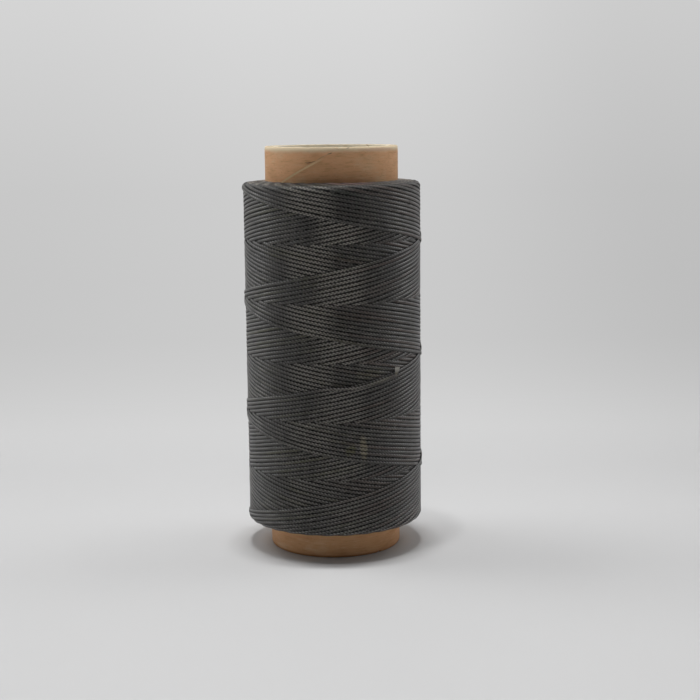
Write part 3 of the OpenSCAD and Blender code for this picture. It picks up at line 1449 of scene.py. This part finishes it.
@dataclass
class CutEnd:
    """The filaments that fan out of the thread's cut end. Lengths are in millimetres.

    Attributes:
        winding: the route of the thread.
        filaments: how many there are.
        rings: rings of each.
        thickness: thickness of one.
        shortest: length of the shortest.
        longest: length of the longest.
        bend: length over which they turn up.
        spread: how far to the side the outermost leave the thread.
        scatter: how far they stray in and out.
        jitter: size of their random kinks.
        lift: how far their tips stand off the package.
        tip: size of their tips, as a share of their foot.
    """

    winding: CrossWinding
    filaments: int = 60
    rings: int = 12
    thickness: float = 0.12
    shortest: float = 1.9
    longest: float = 2.5
    bend: float = 0.6
    spread: float = 0.45
    scatter: float = 0.12
    jitter: float = 0.015
    lift: float = 0.30
    tip: float = 0.7

    def routes(self) -> list[Route]:
        """The filaments, which leave the thread at its last ring."""
        w = self.winding
        rng = np.random.default_rng(w.seed + 7)
        last = w.newest_low - w.last_angle
        foot = w.route(np.array([last + 2.4, last + 1.2, last]), 1, 0.0).points[-1]
        scale = np.linspace(1.0, self.tip, self.rings)
        return [Route(self._filament(rng, foot), np.zeros(self.rings), scale, number * 9.0, 0.2)
                for number in range(self.filaments)]

    def _filament(self, rng: np.random.Generator, foot: np.ndarray) -> np.ndarray:
        """Bends one filament.

        Args:
            rng: where its random values come from.
            foot: middle of the thread's last ring, in metres.

        Returns:
            Its points in metres, one row for each ring.
        """
        radius = float(np.hypot(*foot[:2])) / MM
        base = self.winding.last_angle - 360.0
        side = rng.uniform(-1.0, 1.0)
        out = rng.uniform(-1.0, 1.0)
        length = rng.uniform(self.shortest, self.longest)
        points = []
        for f in np.linspace(0.0, 1.0, self.rings):
            bent = min(f * length, self.bend)
            rest = f * length - bent
            run = bent * 0.75 + rest * 0.12
            climb = bent * 0.6 + rest * 0.98
            across = side * (self.spread + self.spread * f * f)
            heading = math.radians(15.0 + 68.0 * bent / self.bend)
            stray = out * self.scatter
            points.append(around(
                radius + stray + self.lift * f + rng.normal(0.0, self.jitter),
                base + math.degrees((run - across * math.sin(heading)) / radius),
                float(foot[2]) / MM + climb + across * math.cos(heading),
            ))
        return np.array(points)


@dataclass
class ThreadPackage:
    """The thread on the tube.

    Attributes:
        winding: the route that it follows.
        width: width of the thread, in millimetres.
        thickness: its thickness.
        step: distance between two rings of the swept thread, in degrees.
        doubles: double strokes that are swept whole.
        part_double: share of one more double stroke that is swept with them.
        pieces: pieces that they are cut into.
        cells: cells of the atlas that each piece is cut into.
        low_reach: half the angle of an older turning at the low end, in degrees.
        end_step: distance between two rings of an older turning, in degrees.
        end_length: length of thread from one older turning to the next.
        buried_depth: depth of the buried layers, in thicknesses of the thread.
        buried_inset: how far the buried layers end before the package does.
    """

    winding: CrossWinding
    width: float = 1.05
    thickness: float = 0.5
    step: float = 1.125
    doubles: int = 30
    part_double: float = 0.25
    pieces: int = 7
    cells: int = 44
    low_reach: float = 21.0
    end_step: float = 2.0
    end_length: float = 31.0
    buried_depth: float = 3.2
    buried_inset: float = 1.15

    def build(self) -> None:
        """Builds the outer turns, the end faces, the buried layers and the cut end."""
        self._buried()
        self._outer_turns()
        self._end_faces()
        self._cut_end()

    def _outer_turns(self) -> None:
        """Sweeps the newest turns, which are all that shows on the package's side."""
        w = self.winding
        oldest = 2.0 * w.stroke * (self.doubles + self.part_double)
        newest = w.newest_low - w.last_angle
        count = int((oldest - newest) / self.step)
        back = oldest - np.arange(count + 1) * (oldest - newest) / count
        whole = w.route(back, w.seed)
        sweeper = Sweeper(self.width, self.thickness)
        per_piece = math.ceil(count / self.pieces)
        spacing = w.degree * (oldest - newest) / count
        for number in range(self.pieces):
            first = number * per_piece
            last = min(count, first + per_piece) + 1
            part = Route(whole.points[first:last], whole.lean[first:last],
                         whole.scale[first:last], first * spacing, spacing)
            mesh = sweeper.mesh([part], self.cells)
            braid = WaxedBraid("waxed braid", w.outer, (w.fan(False), w.fan(True)),
                               double=2.0 * w.stroke * w.degree)
            piece = link(f"thread_outer_turns_{number + 1}", mesh, braid)
            nodes = ("thread_outer_winding",) if number == 0 else ()
            attach(piece, Slot.THREAD, *nodes)

    def _end_faces(self) -> None:
        """Sweeps the older turnings, whose edges make the two end faces."""
        w = self.winding
        sweeper = Sweeper(self.width, self.thickness)
        for end, offset, reach in (("low", 0.0, self.low_reach),
                                   ("high", w.stroke, w.high_round + 1.0)):
            routes = []
            number = self.doubles
            while True:
                apex = 2.0 * w.stroke * number + offset
                if w.radius(np.array([apex]))[0] < w.tube + self.thickness:
                    break
                back = np.arange(apex + reach, apex - reach, -self.end_step)
                route = w.route(back, w.seed + 100 + 2 * number, 0.8)
                route.start = number * self.end_length
                route.spacing = self.end_step * w.degree
                routes.append(route)
                number += 1
            braid = WaxedBraid(f"waxed braid, {end} end", w.outer, (w.fan(end == "high"),),
                               shade=0.2, painted_side_sheen=1.0, wax=0.5)
            piece = link(f"thread_{end}_end_turns", sweeper.mesh(routes, 1), braid)
            attach(piece, Slot.THREAD)

    def _buried(self) -> None:
        """Spins the layers that lie below the swept turns."""
        w = self.winding
        radius = w.outer - self.buried_depth * self.thickness
        low = w.package_low + self.buried_inset
        high = w.package_high - w.top_fall / 2 - self.buried_inset
        ring = PaperRing(w.tube, radius, high - low, wear=0.0, steps=144)
        mesh = ring.mesh()
        mesh.transform(Matrix.Translation((0.0, 0.0, low * MM)))
        piece = link("thread_buried_layers", mesh, BuriedTurns("buried turns"))
        attach(piece, Slot.THREAD, "thread_inner_windings")

    def _cut_end(self) -> None:
        """Fans the filaments of the cut end out of the last turn."""
        end = CutEnd(self.winding)
        sweeper = Sweeper(end.thickness, end.thickness)
        finish = FrayedBraid("frayed braid")
        piece = link("thread_cut_end", sweeper.mesh(end.routes(), 1), finish)
        attach(piece, Slot.THREAD_END, "thread_loose_end")


# ---------------------------------------------------------------------------
# Studio
# ---------------------------------------------------------------------------


@dataclass(frozen=True)
class PaleSweep(Finish):
    """Pale paper of the floor and of the backdrop that it sweeps up into.

    It reads the map "Sweep": metres to the right, and metres back along the paper.
    """

    near: Colour = (0.67, 0.67, 0.672)
    far: tuple[tuple[float, float], ...] = (
        (0.147, 0.666), (0.201, 0.640), (0.245, 0.612), (0.283, 0.592), (0.349, 0.592),
        (0.435, 0.607), (0.513, 0.648), (0.586, 0.690), (0.720, 0.760),
    )

    def paint(self, sheet: NodeSheet) -> None:
        """Lays out the paper, with painted shade towards its sides and, near by, towards the back;
        far off, camera and glossy rays see it as a glow of set tones.
        """
        across, along, _ = sheet.split(sheet.map("Sweep"))
        # Painted shade: darker towards the sides, more on the right.
        sides = across.rise(0.03, 0.20) * 0.13 + across.rise(-0.03, -0.20) * 0.05
        stops = [(reach / 0.8, (level,) * 3) for reach, level in self.far]
        tone = sheet.node("ShaderNodeValToRGB", {"stops": stops}, {0: along / 0.8})
        tone = sheet.mix(tone, (0.0, 0.0, 0.0), sides)
        mottle = sheet.grain(sheet.join(across * 9.0, along * 9.0, 0.0), detail=3)
        paper = sheet.mix(self.near, (0.61, 0.61, 0.61), mottle.rise(0.35, 0.75) * 0.12)
        # Painted shade: the near paper is darker towards the back.
        paper = sheet.mix(paper, (0.0, 0.0, 0.0), along.rise(-0.02, 0.10) * 0.07)
        diffuse = sheet.node("ShaderNodeBsdfDiffuse", None, {
            "Color": sheet.mix(paper, (0.0, 0.0, 0.0), sides),
        })
        glow = sheet.node("ShaderNodeEmission", None, {"Color": tone, "Strength": 1.0})
        rays = sheet.node("ShaderNodeLightPath")
        outputs = rays.socket.node.outputs
        seen = Term(sheet, outputs["Is Camera Ray"])
        for kind in ("Is Glossy Ray", "Is Transmission Ray"):
            seen = seen.maths("MAXIMUM", Term(sheet, outputs[kind]))
        # Far off, camera and glossy rays see a glow of set tones in place of the lit paper.
        share = along.rise(0.07, 0.20) * seen
        both = sheet.node("ShaderNodeMixShader", None, {0: share, 1: diffuse, 2: glow})
        sheet.node_end(both)


@dataclass(frozen=True)
class Lamp:
    """A soft lamp that faces the spool.

    Attributes:
        name: its name.
        place: where it hangs, in metres.
        size: its width and height.
        power: its power in watts.
        aim: the point that it faces.
    """

    name: str
    place: tuple[float, float, float]
    size: tuple[float, float]
    power: float
    aim: tuple[float, float, float] = (0.0, 0.0, 0.06)

    def hang(self) -> bpy.types.Object:
        """Makes the lamp."""
        lamp = bpy.data.lights.new(self.name, "AREA")
        lamp.shape = "ELLIPSE"
        lamp.size, lamp.size_y = self.size
        lamp.energy = self.power
        made = bpy.data.objects.new(self.name, lamp)
        towards = Vector(self.aim) - Vector(self.place)
        turn = towards.to_track_quat("-Z", "Y").to_matrix().to_4x4()
        made.matrix_world = Matrix.Translation(self.place) @ turn
        return made


@dataclass
class Studio:
    """Floor, backdrop, lamps and camera. Lengths are in metres."""

    floor_front: float = -1.2
    floor_back: float = 0.17
    bend: float = 0.42
    wall: float = 0.9
    half_width: float = 1.6
    lamps: tuple[Lamp, ...] = (
        Lamp("key", (0.0, 0.04, 2.2), (0.30, 0.06), 20.9),
        Lamp("glint", (-0.20, -0.20, 1.95), (0.12, 0.12), 4.8),
        Lamp("left_panel", (-0.8, 0.32, 1.2), (0.8, 0.8), 5.0),
        Lamp("right_panel", (0.8, 0.32, 1.2), (0.8, 0.8), 3.0),
        Lamp("left_low", (-0.95, 0.20, 0.32), (0.5, 0.5), 1.1),
        Lamp("right_low", (0.95, 0.20, 0.32), (0.5, 0.5), 1.1),
        Lamp("front_panel", (0.0, -1.1, 0.75), (0.9, 0.5), 0.5),
    )
    fill_level: float = 0.015
    camera_place: tuple[float, float, float] = (0.0, -0.40975, 0.12541)
    pitch: float = 9.496
    yaw: float = 0.666
    roll: float = -0.592
    lens: float = 73.22

    def build(self) -> None:
        """Builds the studio around the spool."""
        self._camera()
        self._sweep()
        self._lamps()

    def _camera(self) -> None:
        """Sets the camera up in front of the spool, a little above it."""
        camera = bpy.data.cameras.new("camera")
        camera.sensor_width = 36.0
        camera.lens = self.lens
        made = bpy.data.objects.new("camera", camera)
        turn = (Matrix.Rotation(math.radians(-self.yaw), 4, "Z")
                @ Matrix.Rotation(math.radians(90.0 - self.pitch), 4, "X")
                @ Matrix.Rotation(math.radians(self.roll), 4, "Z"))
        made.matrix_world = Matrix.Translation(self.camera_place) @ turn
        bpy.context.scene.collection.objects.link(made)
        bpy.context.scene.camera = made

    def _profile(self, reach: float) -> tuple[float, float]:
        """Depth and height of the paper at a distance back along it."""
        if reach < self.floor_back:
            return reach, 0.0
        turn = (reach - self.floor_back) / self.bend
        if turn < math.pi / 2:
            return (self.floor_back + self.bend * math.sin(turn),
                    self.bend * (1.0 - math.cos(turn)))
        rest = reach - self.floor_back - self.bend * math.pi / 2
        return self.floor_back + self.bend, self.bend + rest

    def _sweep(self) -> None:
        """Bends a flat sheet into the floor and the backdrop."""
        length = self.floor_back + self.bend * math.pi / 2 + self.wall - self.floor_front
        bm = bmesh.new()
        bmesh.ops.create_grid(bm, x_segments=8, y_segments=140, size=0.5)
        layer = bm.loops.layers.uv.new("Sweep")
        for face in bm.faces:
            for loop in face.loops:
                co = loop.vert.co
                loop[layer].uv = (co.x * 2 * self.half_width,
                                  self.floor_front + (co.y + 0.5) * length)
        for v in bm.verts:
            depth, height = self._profile(self.floor_front + (v.co.y + 0.5) * length)
            v.co = (v.co.x * 2 * self.half_width, depth, height)
        mesh = finish_mesh(bm)
        made = link("sweep", mesh, PaleSweep("pale sweep"))

    def _lamps(self) -> None:
        """Hangs the lamps and sets a weak even fill."""
        for lamp in self.lamps:
            bpy.context.scene.collection.objects.link(lamp.hang())
        world = bpy.data.worlds.new("studio")
        world.use_nodes = True
        tree = world.node_tree
        tree.nodes["Background"].inputs["Color"].default_value = (1.0, 1.0, 1.0, 1.0)
        tree.nodes["Background"].inputs["Strength"].default_value = self.fill_level
        bpy.context.scene.world = world


def main() -> None:
    """Builds the studio, the paper tube and the thread."""
    logging.basicConfig(level=logging.INFO, format="%(name)s: %(message)s")
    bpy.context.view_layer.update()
    Studio().build()
    tube = PaperTube()
    tube.build()
    low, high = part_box("thread_inner_windings")
    ThreadPackage(CrossWinding(low.z / MM, high.z / MM, tube.outer)).build()
    bpy.context.scene.view_settings.view_transform = "Standard"


if __name__ == "__main__":
    main()
